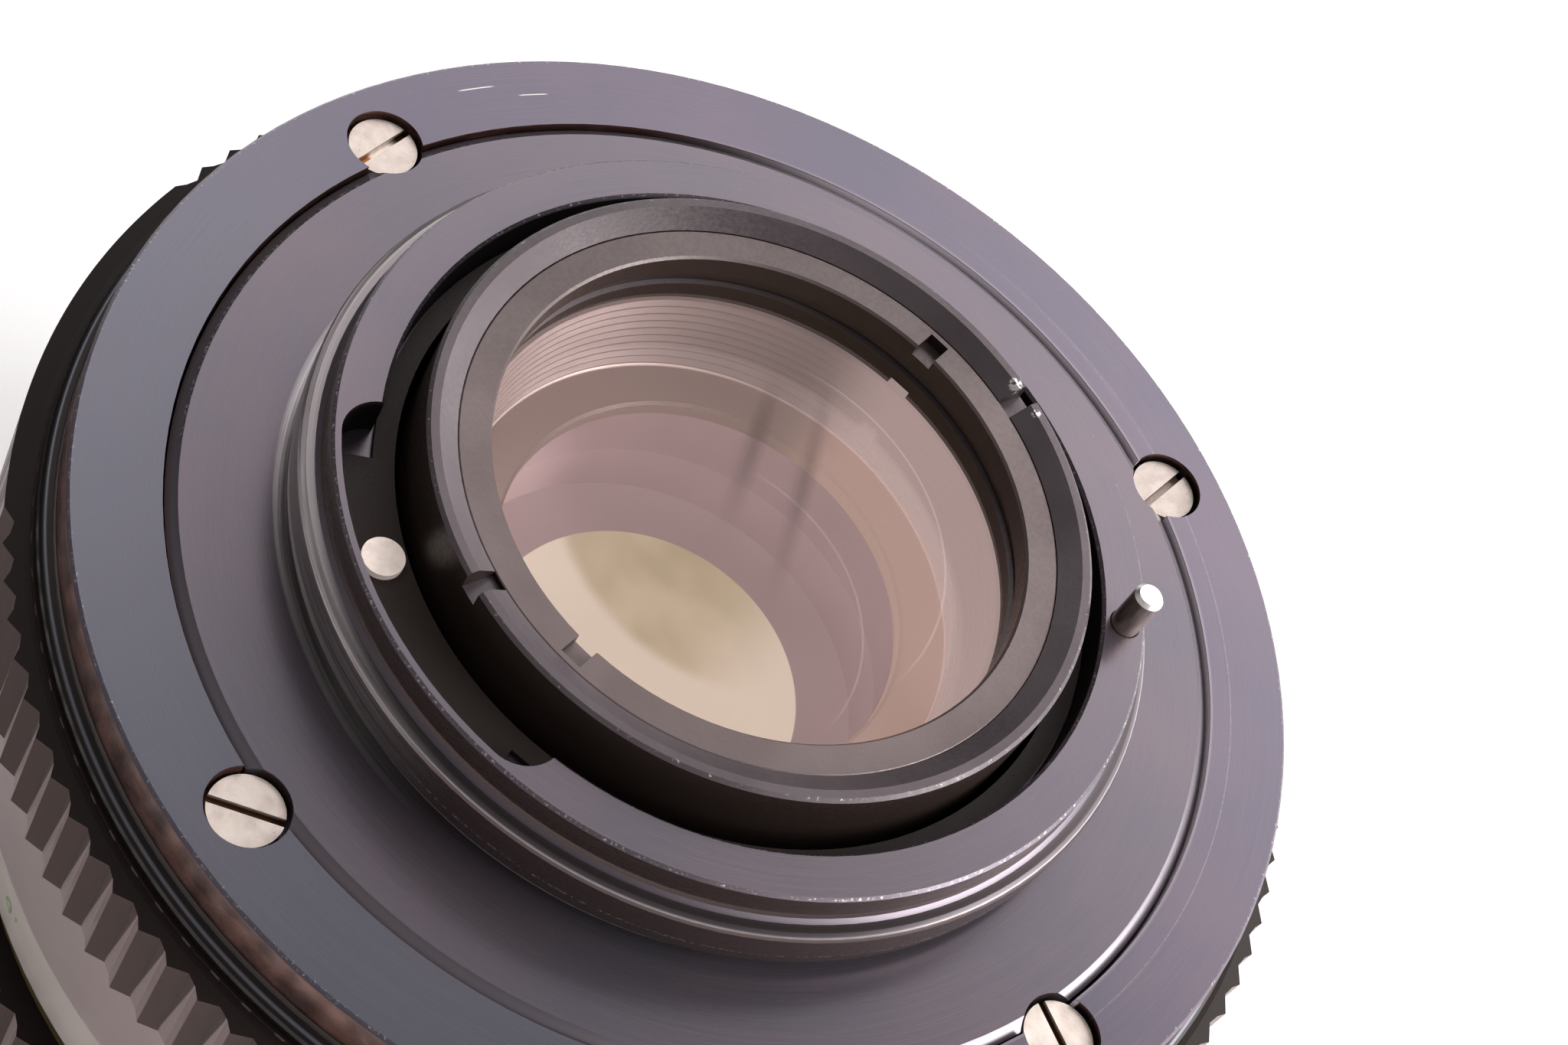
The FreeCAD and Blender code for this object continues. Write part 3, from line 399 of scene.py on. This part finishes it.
def pupil_surface():
    """Coated middle glass: a mauve rim whose colour and glow are a painted reflection, and a pale
    green-gold centre whose colour and glow are painted light seen through the lens.
    """
    s = Surface("pupil_glass", (0.3, 0.24, 0.24), 0.0, 0.3)
    painted_light_pattern = s.noise(s.place, 0.16, 3.0, 0.55, 2.0)
    open_part = s.ramp(s.radius, 8.36, 8.44, 1.0, 0.0)
    # Painted light: a circle and a sideways gradient split the centre into olive and pale.
    shifted = s.vector("LENGTH", s.vector("SUBTRACT", s.flat, (-0.26, 11.52, 0.0)))
    eye = s.ramp(shifted, 9.5, 10.5, 1.0, 0.0)
    pale = s.blend(painted_light_pattern, (0.60, 0.60, 0.47), (0.65, 0.655, 0.52))
    olive = s.blend(s.ramp(painted_light_pattern, 0.3, 0.65), (0.34, 0.325, 0.175), (0.50, 0.475, 0.31))
    lit_side = s.ramp(s.parts(s.flat)[0], 0.5, 6.0)
    glow = s.blend(eye, pale, s.blend(lit_side, olive, pale))
    rim = s.blend(painted_light_pattern, (0.24, 0.19, 0.19), (0.30, 0.245, 0.25))
    s.set(Base_Color=s.blend(open_part, rim, glow))
    s.set(Emission_Color=s.blend(open_part, (0.74, 0.62, 0.61), glow))
    s.set(Emission_Strength=s.ramp(open_part, 0.0, 1.0, 0.24, 0.80))
    return s


def matte_surface():
    """Flat black paint."""
    s = Surface("matte_black", (0.022, 0.015, 0.012), 0.0, 0.6)
    grit = s.noise(s.place, 14.0, 3.0, 0.6)
    s.set(Base_Color=s.blend(grit, (0.022, 0.014, 0.011), (0.036, 0.025, 0.021)))
    s.set(Roughness=s.ramp(grit, 0.3, 0.7, 0.5, 0.7))
    s.set(Specular_IOR_Level=0.3)
    s.bump(grit, 0.01)
    return s


RIBS = 104
RIB_PITCH = 2.0 * math.pi / RIBS
RIB_PHASE = math.radians(1.49)          # direction of the first rib's edge
FACET_SHARE = math.radians(1.5) / RIB_PITCH


def grip_surface():
    """Ribbed grip: brown-black paint, milled through to bright metal along the flutes; the flutes' pinkish
    pale colour is partly that bare metal and partly painted sheen.
    """
    s = Surface("grip_black", (0.05, 0.045, 0.045), 0.1, 0.36)
    grit = s.noise(s.place, 9.0, 3.0, 0.6)
    turn = s.math("DIVIDE", s.math("SUBTRACT", s.angle, RIB_PHASE), RIB_PITCH)
    phase = s.math("FRACT", s.math("ADD", turn, float(RIBS)))
    start = s.ramp(s.z, -9.5, -4.5, FACET_SHARE - 0.02, FACET_SHARE + 0.25, smooth=False)
    flute = s.both(s.ramp(s.math("SUBTRACT", phase, start), 0.0, 0.05),
                   s.ramp(s.math("SUBTRACT", 1.0, phase), 0.0, 0.05),
                   s.ramp(s.upward, 0.3, 0.6, 1.0, 0.0))
    paint_colour = s.blend(grit, (0.034, 0.017, 0.014), (0.052, 0.028, 0.024))
    end_colour = s.blend(grit, (0.016, 0.012, 0.011), (0.026, 0.020, 0.018))
    black = s.blend(s.ramp(s.upward, 0.3, 0.6), paint_colour, end_colour)
    # Partly bare metal, partly painted sheen: the flute colour.
    s.set(Base_Color=s.blend(flute, black, (0.21, 0.155, 0.148)))
    s.set(Metallic=s.ramp(flute, 0.0, 1.0, 0.1, 0.45), Specular_IOR_Level=0.08)
    s.set(Roughness=s.ramp(grit, 0.3, 0.7, 0.32, 0.46))
    s.bump(grit, 0.004)
    return s


def silver_surface(name, colour, roughness):
    """Brushed satin aluminium, streaked round the ring."""
    s = Surface(name, colour, 0.75, roughness)
    streak = s.noise(s.turning(1.4, 9.0), 2.0, 4.0, 0.65)
    cloud = s.noise(s.place, 0.2, 2.0, 0.5, 2.0)
    tone = s.math("ADD", s.math("MULTIPLY", streak, 0.7), s.math("MULTIPLY", cloud, 0.3))
    dark = tuple(0.82 * c for c in colour)
    light = tuple(min(1.15 * c, 1.0) for c in colour)
    s.set(Base_Color=s.blend(s.ramp(tone, 0.3, 0.7), dark, light))
    s.set(Roughness=s.ramp(streak, 0.3, 0.7, roughness - 0.07, roughness + 0.09))
    s.bump(streak, 0.006)
    return s


SCREW_R = 27.25                         # the mount screws' distance from the axis, mm
LEFT_SCREW = 160.4                      # direction of the screw with a rusty slot painted pale over its shade, degrees
PIN_SCREW = 52.45                       # direction of the dull screw past the pin, degrees
SLOT_FLOOR = -0.5                       # the screws' slots lie below this height


def steel_surface(name="bright_steel", slot_depth=None, shine=1.0):
    """Bright nickel-plated steel with small pits, dark in a slot."""
    s = Surface(name, (0.78, 0.74, 0.71), 0.8, 0.35)
    pit = s.noise(s.place, 7.0, 4.0, 0.7)
    stain = s.noise(s.place, 1.1, 2.0, 0.5, 6.0)
    colour = s.blend(s.ramp(stain, 0.35, 0.75), tuple(shine * c for c in (0.60, 0.525, 0.475)),
                     tuple(shine * c for c in (0.47, 0.40, 0.355)))
    metal = s.blend(s.ramp(pit, 0.6, 0.74), colour, (0.3, 0.24, 0.2))
    if slot_depth is not None:
        rust = s.noise(s.place, 2.4, 3.0, 0.6, 4.0)
        slot_colour = s.blend(rust, (0.045, 0.022, 0.010), (0.16, 0.085, 0.042))
        # Painted light: the slot floors at the left screw and the pin screw are painted pale over the
        # slot's shade.
        slot_colour = s.blend(s.spot(SCREW_R, LEFT_SCREW, 1.9), slot_colour, (0.85, 0.76, 0.69))
        slot_colour = s.blend(s.spot(27.2, 162.2, 0.9), slot_colour, (0.42, 0.19, 0.07))
        slot_colour = s.blend(s.spot(SCREW_R, PIN_SCREW, 2.4), slot_colour, (0.40, 0.33, 0.29))
        metal = s.blend(s.ramp(s.z, slot_depth - 0.15, slot_depth, 1.0, 0.0),
                        metal, slot_colour)
    dull = s.math("MULTIPLY", s.spot(SCREW_R, PIN_SCREW, 4.0), 0.35)
    s.set(Base_Color=s.blend(dull, metal, (0.2, 0.165, 0.15)))
    s.set(Roughness=s.ramp(pit, 0.3, 0.7, 0.42, 0.58))
    s.bump(pit, 0.006)
    return s


def pin_surface():
    """Bright steel pin: white on its upward faces over a darker drawn side."""
    s = Surface("pin_steel", (0.6, 0.57, 0.55), 0.9, 0.3)
    streak = s.noise(s.vector("MULTIPLY", s.place, (1.0, 1.0, 0.12)), 6.0, 3.0, 0.6)
    side = s.blend(streak, (0.30, 0.24, 0.21), (0.62, 0.53, 0.48))
    s.set(Base_Color=s.blend(s.ramp(s.upward, 0.2, 0.7), side, (0.85, 0.8, 0.79)))
    s.set(Roughness=s.ramp(streak, 0.3, 0.7, 0.25, 0.4))
    s.bump(streak, 0.004)
    return s


def spring_surface():
    """Drawn spring wire."""
    s = Surface("spring_wire", (0.5, 0.5, 0.5), 0.9, 0.35)
    grain = s.noise(s.place, 12.0, 2.0)
    s.set(Base_Color=s.blend(grain, (0.42, 0.42, 0.43), (0.58, 0.57, 0.56)))
    s.bump(grain, 0.002)
    return s


def brass_surface():
    """Turned brass, streaked round the part."""
    s = Surface("turned_brass", (0.72, 0.58, 0.28), 0.85, 0.35)
    streak = s.noise(s.turning(2.0, 8.0), 2.0, 3.0)
    s.set(Base_Color=s.blend(streak, (0.6, 0.46, 0.2), (0.78, 0.64, 0.34)))
    s.set(Roughness=s.ramp(streak, 0.3, 0.7, 0.28, 0.44))
    s.bump(streak, 0.003)
    return s


def blade_surface():
    """Blued spring-steel leaf."""
    s = Surface("blued_blade", (0.16, 0.17, 0.19), 0.8, 0.34)
    grain = s.noise(s.place, 6.0, 4.0, 0.6)
    s.set(Base_Color=s.blend(grain, (0.11, 0.12, 0.145), (0.2, 0.21, 0.23)))
    s.set(Roughness=s.ramp(grain, 0.3, 0.7, 0.26, 0.42))
    s.bump(grain, 0.002)
    return s


MIRROR = 0.012                          # share of the glass that mirrors its surroundings


def glass_surface(name, tint, glow_and_mirror_colour, veil, line_radius, face, dark_reflection_share):
    """Coated glass: clear, with a steady painted glow and a faint mirror.

    Its painted reflected ring and its dark streaks, which are painted reflections, lie on the face above
    the height face, mm.
    """
    s = Surface(name, glow_and_mirror_colour, 1.0, 0.12)
    clear = s.tree.nodes.new("ShaderNodeBsdfTransparent")
    # Painted reflection: the two dark streaks.
    painted_light_pattern = s.either(s.smear((-1.76, 3.8), 103.0, 6.5, 0.75), s.smear((1.15, 3.8), 105.0, 8.5, 0.7))
    outer = s.ramp(s.z, face - 0.05, face + 0.05)
    s.feed(clear.inputs["Color"], s.blend(s.both(painted_light_pattern, outer, dark_reflection_share), tint,
                                          tuple(0.35 * c for c in tint)))
    patch = s.noise(s.place, 0.35, 3.0, 0.6, 9.0)
    # Painted light: the bloom is emission, and the ring line adds a painted reflection.
    bloom = s.ramp(patch, 0.3, 0.7, veil * 0.93 / MIRROR, veil * 1.07 / MIRROR)
    line = s.both(outer, s.arc(line_radius, 0.09, 45.0, 62.0), 0.14 / MIRROR)
    bloom = s.math("ADD", bloom, line)
    s.set(Emission_Color=(*glow_and_mirror_colour, 1.0), Emission_Strength=bloom)
    join = s.tree.nodes.new("ShaderNodeMixShader")
    join.inputs[0].default_value = MIRROR
    s.feed(join.inputs[1], clear.outputs[0])
    s.feed(join.inputs[2], s.shader.outputs[0])
    s.feed(s.out.inputs["Surface"], join.outputs[0])
    return s


# ---------------------------------------------------------------- painting the CAD nodes
STEEL = steel_surface()
paint(cover_surface(), "rear_cover_ring")
paint(plate_surface(), "mount_plate")
paint(cell_surface("ring_black", (0.098, 0.073, 0.071), (0.125, 0.095, 0.093)),
      "rear_retaining_ring")
paint(cell_surface(), "rear_cell", "rear_spacer", "front_cell",
      "front_spacer", "front_retaining_ring", "name_ring")
paint(funnel_surface(), "baffle_ring", "rear_stop_ring")
paint(pupil_surface(), "rear_middle_element")
paint(matte_surface(), "light_baffle", "main_barrel", "inner_barrel", "seal_ring",
      "iris_housing", "filter_ring")
paint(grip_surface(), "aperture_ring", "focus_ring")
paint(silver_surface("scale_silver", (0.25, 0.190, 0.184), 0.4), "aperture_scale_ring",
      "distance_scale_ring")
paint(silver_surface("index_silver", (0.40, 0.345, 0.32), 0.4), "index_ring")
paint(steel_surface("screw_steel", SLOT_FLOOR), "mount_screws")
paint(pin_surface(), "aperture_pin")
paint(STEEL, "index_set_screws", "click_ball", "focus_rollers",
      "aperture_fork", "iris_drive_ring")
# Painted light: the rivet gets a brighter colour and a small glow in the recess's shade.
RIVET = steel_surface("rivet_steel", shine=1.55)
RIVET.set(Emission_Color=(1.0, 0.86, 0.8, 1.0), Emission_Strength=0.2)
paint(RIVET, "baffle_rivet")
SPRING = spring_surface()
paint(SPRING, "click_spring", "pin_spring")
paint(brass_surface(), "focus_cam_sleeve", "pin_housing")
paint(blade_surface(), *["iris_blade_%d" % k for k in range(1, 7)])
paint(glass_surface("rear_glass", tint=(0.96, 0.93, 0.92), glow_and_mirror_colour=(1.0, 0.80, 0.77), veil=0.022,
                    line_radius=10.26, face=3.1, dark_reflection_share=0.55),
      "rear_element", "front_element")
paint(glass_surface("inner_glass", tint=(0.95, 0.905, 0.915), glow_and_mirror_colour=(0.90, 0.76, 0.78), veil=0.010,
                    line_radius=9.05, face=-6.0, dark_reflection_share=0.0),
      "rear_inner_element", "front_inner_element")


# ---------------------------------------------------------------- aperture pin's spring
COIL_R = 1.2                            # radius to the middle of the wire, mm
WIRE_R = 0.16
COIL_TURNS = 6
STEPS_PER_TURN = 32
WIRE_SIDES = 10


def coil(x, y, foot, head):
    """Points and faces of a closed coil of round wire standing on a place in plan, mm."""
    steps, sides = STEPS_PER_TURN * COIL_TURNS, WIRE_SIDES
    rise = head - foot - 2.0 * WIRE_R
    points, faces = [], []
    for i in range(steps + 1):
        turn = 2.0 * math.pi * COIL_TURNS * i / steps
        middle = foot + WIRE_R + rise * i / steps
        for k in range(sides):
            a = 2.0 * math.pi * k / sides
            radius = COIL_R + WIRE_R * math.cos(a)
            points.append(((x + radius * math.cos(turn)) * MM, (y + radius * math.sin(turn)) * MM,
                           (middle + WIRE_R * math.sin(a)) * MM))
            if i < steps:
                here, after = i * sides, (i + 1) * sides
                side = (k + 1) % sides
                faces.append((here + k, after + k, after + side, here + side))
    faces.append(tuple(range(sides)))
    faces.append(tuple(reversed(range(steps * sides, (steps + 1) * sides))))
    return points, faces


def return_spring():
    """The coil under the aperture pin's collar, built at one fixed length; the real one shortens as the
    pin goes in.
    """
    low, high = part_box("pin_spring")
    x, y = (low.x + high.x) / 2.0 / MM, (low.y + high.y) / 2.0 / MM
    foot, head = low.z / MM, high.z / MM
    points, faces = coil(x, y, foot, head)
    mesh = bpy.data.meshes.new("pin_return_spring")
    mesh.from_pydata(points, [], faces)
    mesh.validate()
    mesh.polygons.foreach_set("use_smooth", [True] * len(mesh.polygons))
    mesh.materials.append(SPRING.material)
    piece = bpy.data.objects.new("pin_return_spring", mesh)
    SCENE.collection.objects.link(piece)
    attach(piece, "barrel")
    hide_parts("pin_spring")
    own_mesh(piece)


return_spring()


# ---------------------------------------------------------------- scale markings
INDEX_AT = -150.0                       # direction of the lens's reference line, degrees
STOP_STEP = 7.5                         # aperture ring turn between clicks, degrees
FOCUS_TURN = 150.0                      # focus ring turn, degrees
FOCUS_TRAVEL = 6.0                      # lens travel over that turn, mm
FOCAL = 50.0
FILM = 0.02                             # the paint stands this far out of the ring, mm


def cone_radius(z, top, top_radius, low, low_radius):
    """Radius of a tapered ring at a height, mm."""
    return top_radius + (z - top) / (low - top) * (low_radius - top_radius)


def scale_band(z):
    """Radius of the aperture scale at a height, mm."""
    return cone_radius(z, -10.1, 32.1, -17.1, 31.46)


def index_band(z):
    """Radius of the index ring at a height, mm."""
    return cone_radius(z, -17.5, 31.42, -21.95, 30.94)


def distance_band(z):
    """Radius of the distance scale, the same at every height, mm."""
    return 31.3


def wrapped(outline, degrees, height, band):
    """Flat points (mm, reading direction first) laid round a ring, tops toward the front rim."""
    laid = []
    for x, y, out in outline:
        z = height - y
        radius = band(z) + out
        a = math.radians(degrees) - x / radius
        laid.append((radius * math.cos(a) * MM, radius * math.sin(a) * MM, (FLANGE + z) * MM))
    return laid


def figure(text, size):
    """Points and faces of a centred figure, mm."""
    curve = bpy.data.curves.new("figure", "FONT")
    curve.body = text
    curve.size = size
    curve.extrude = FILM
    curve.align_x, curve.align_y = "CENTER", "CENTER"
    holder = bpy.data.objects.new("figure", curve)
    SCENE.collection.objects.link(holder)
    bpy.context.view_layer.update()
    mesh = bpy.data.meshes.new_from_object(
        holder.evaluated_get(bpy.context.evaluated_depsgraph_get()))
    points = [tuple(v.co) for v in mesh.vertices]
    faces = [tuple(f.vertices) for f in mesh.polygons]
    bpy.data.objects.remove(holder)
    bpy.data.curves.remove(curve)
    bpy.data.meshes.remove(mesh)
    return points, faces


def stroke(length, width):
    """Points and faces of a line standing across the reading direction, mm."""
    points = [(sx * width / 2.0, sy * length / 2.0, sz * FILM)
              for sz in (-1, 1) for sy in (-1, 1) for sx in (-1, 1)]
    faces = [(0, 2, 3, 1), (4, 5, 7, 6), (0, 1, 5, 4), (2, 6, 7, 3), (0, 4, 6, 2), (1, 3, 7, 5)]
    return points, faces


def markings(name, body, surface, marks):
    """One painted set of marks: (shape, degrees, height, band) each."""
    points, faces = [], []
    for (shape, shape_faces), degrees, height, band in marks:
        first = len(points)
        points += wrapped(shape, degrees, height, band)
        faces += [tuple(first + i for i in face) for face in shape_faces]
    mesh = bpy.data.meshes.new(name)
    mesh.from_pydata(points, [], faces)
    mesh.validate()
    piece = bpy.data.objects.new(name, mesh)
    SCENE.collection.objects.link(piece)
    mesh.materials.append(surface.material)
    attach(piece, body)


def mark_paint(name, colour):
    """Old enamel rubbed into an engraving: chalky and a little patchy."""
    s = Surface(name, colour, 0.0, 0.5)
    grit = s.noise(s.place, 6.0, 3.0, 0.6)
    s.set(Base_Color=s.blend(grit, tuple(0.6 * c for c in colour), colour))
    s.set(Roughness=s.ramp(grit, 0.3, 0.7, 0.4, 0.65))
    s.bump(grit, 0.006)
    return s


def engrave_scales():
    """Stop numbers, depth-of-field numbers, reference line and distances."""
    black = mark_paint("mark_black", (0.035, 0.03, 0.03))
    green = mark_paint("mark_green", (0.13, 0.24, 0.045))
    stops = ("2", "2.8", "4", "5.6", "8", "11", "16")
    markings("aperture_numbers", "aperture_ring", black,
             [(figure(text, 2.5), INDEX_AT - k * STOP_STEP, -13.8, scale_band)
              for k, text in enumerate(stops)])
    depth = []
    for stop in (4, 8, 11):
        for side in (-1, 1):
            spread = side * 1.625 * stop
            depth.append((figure(str(stop), 1.7), INDEX_AT + spread, -19.6, index_band))
            depth.append((stroke(0.9, 0.16), INDEX_AT + spread, -21.2, index_band))
    depth.append((stroke(3.6, 0.24), INDEX_AT, -19.7, index_band))
    markings("depth_scale", "barrel", black, depth)
    markings("depth_scale_wide", "barrel", green,
             [(figure("16", 1.9), INDEX_AT + side * 26.0, -19.8, index_band) for side in (-1, 1)])
    distances = [(figure("8", 2.4), INDEX_AT, -35.3, distance_band)]
    for metres in (5.0, 3.0, 2.0, 1.5, 1.0, 0.8, 0.6, 0.5):
        travel = FOCAL * FOCAL / (1000.0 * metres - FOCAL)
        turn = travel * FOCUS_TURN / FOCUS_TRAVEL
        distances.append((figure("%g" % metres, 2.4), INDEX_AT - turn, -35.3, distance_band))
    # the first distance is infinity: the figure lies on its side
    points, faces = distances[0][0]
    distances[0] = (([(y, -x, out) for x, y, out in points], faces),) + distances[0][1:]
    markings("distance_numbers", "focus_ring", black, distances)


engrave_scales()


# ---------------------------------------------------------------- studio
def studio_floor():
    """A wide pale floor under the lens."""
    bpy.ops.mesh.primitive_plane_add(size=6.0, location=(0.0, 0.0, CAD_LOW.z - 0.00005))
    floor = bpy.context.object
    floor.name = "studio_floor"
    s = Surface("pale_floor", (0.93, 0.925, 0.92), 0.0, 0.7)
    grain = s.noise(s.place, 0.02, 3.0)
    s.set(Base_Color=s.blend(grain, (0.92, 0.915, 0.912), (0.94, 0.936, 0.932)))
    floor.data.materials.append(s.material)


def softbox(name, location, aim, size, power):
    """A rectangular lamp aimed at a point."""
    light = bpy.data.lights.new(name, "AREA")
    light.shape = "RECTANGLE"
    light.size, light.size_y = size
    light.energy = power
    lamp = bpy.data.objects.new(name, light)
    lamp.location = location
    lamp.rotation_euler = (Vector(aim) - Vector(location)).to_track_quat("-Z", "Y").to_euler()
    SCENE.collection.objects.link(lamp)


def studio_light():
    """A bright backdrop behind and to the right, dim overhead and in front."""
    world = bpy.data.worlds.new("soft_studio")
    world.use_nodes = True
    tree = world.node_tree
    sky = tree.nodes["Background"]
    sky.inputs["Color"].default_value = (1.0, 0.975, 0.98, 1.0)
    direction = tree.nodes.new("ShaderNodeTexCoord").outputs["Generated"]

    def facing(toward, low, high, start, stop):
        """Strength that runs from start to stop as a direction comes nearer to toward."""
        dot = tree.nodes.new("ShaderNodeVectorMath")
        dot.operation = "DOT_PRODUCT"
        tree.links.new(direction, dot.inputs[0])
        dot.inputs[1].default_value = Vector(toward).normalized()
        ramp = tree.nodes.new("ShaderNodeMapRange")
        ramp.interpolation_type = "SMOOTHSTEP"
        tree.links.new(dot.outputs["Value"], ramp.inputs["Value"])
        for name, value in zip(("From Min", "From Max", "To Min", "To Max"),
                               (low, high, start, stop)):
            ramp.inputs[name].default_value = value
        return ramp.outputs["Result"]

    backdrop = facing((0.77, 0.57, 0.75), 0.22, 1.15, 0.0, 5.37)
    overhead = facing((0.11, -0.02, 0.96), 0.752, 0.812, 1.0, 0.03)
    lit = tree.nodes.new("ShaderNodeMath")
    lit.operation = "MULTIPLY_ADD"
    tree.links.new(backdrop, lit.inputs[0])
    tree.links.new(overhead, lit.inputs[1])
    left = facing((-0.395, 0.39, 0.576), 0.886, 0.966, 0.05, 1.25)
    tree.links.new(left, lit.inputs[2])
    fill = facing((0.0, -1.0, 0.3), -0.2, 0.6, 0.0, 0.35)
    total = tree.nodes.new("ShaderNodeMath")
    tree.links.new(lit.outputs[0], total.inputs[0])
    tree.links.new(fill, total.inputs[1])
    tree.links.new(total.outputs[0], sky.inputs["Strength"])
    SCENE.world = world
    softbox("side_box", (0.6, 0.1, 0.35), (0.0, 0.0, 0.04), (0.4, 0.4), 4.0)


TILT = 40.165                           # view axis from straight down, degrees
ROLL = 35.319                           # turn of the picture about the view axis, degrees


def camera():
    """The viewing angle: about 50 degrees above the mount face, rolled to the left."""
    data = bpy.data.cameras.new("view")
    data.lens = 70.86
    data.sensor_width = 36.0
    data.clip_start, data.clip_end = 0.01, 20.0
    eye = bpy.data.objects.new("view", data)
    tilt = Matrix.Rotation(math.radians(TILT), 4, "X")
    roll = Matrix.Rotation(math.radians(ROLL), 4, "Z")
    eye.matrix_world = Matrix.Translation((0.00149, -0.0918, 0.1601)) @ tilt @ roll
    SCENE.collection.objects.link(eye)
    SCENE.camera = eye


studio_floor()
studio_light()
camera()
SCENE.view_settings.view_transform = "Standard"
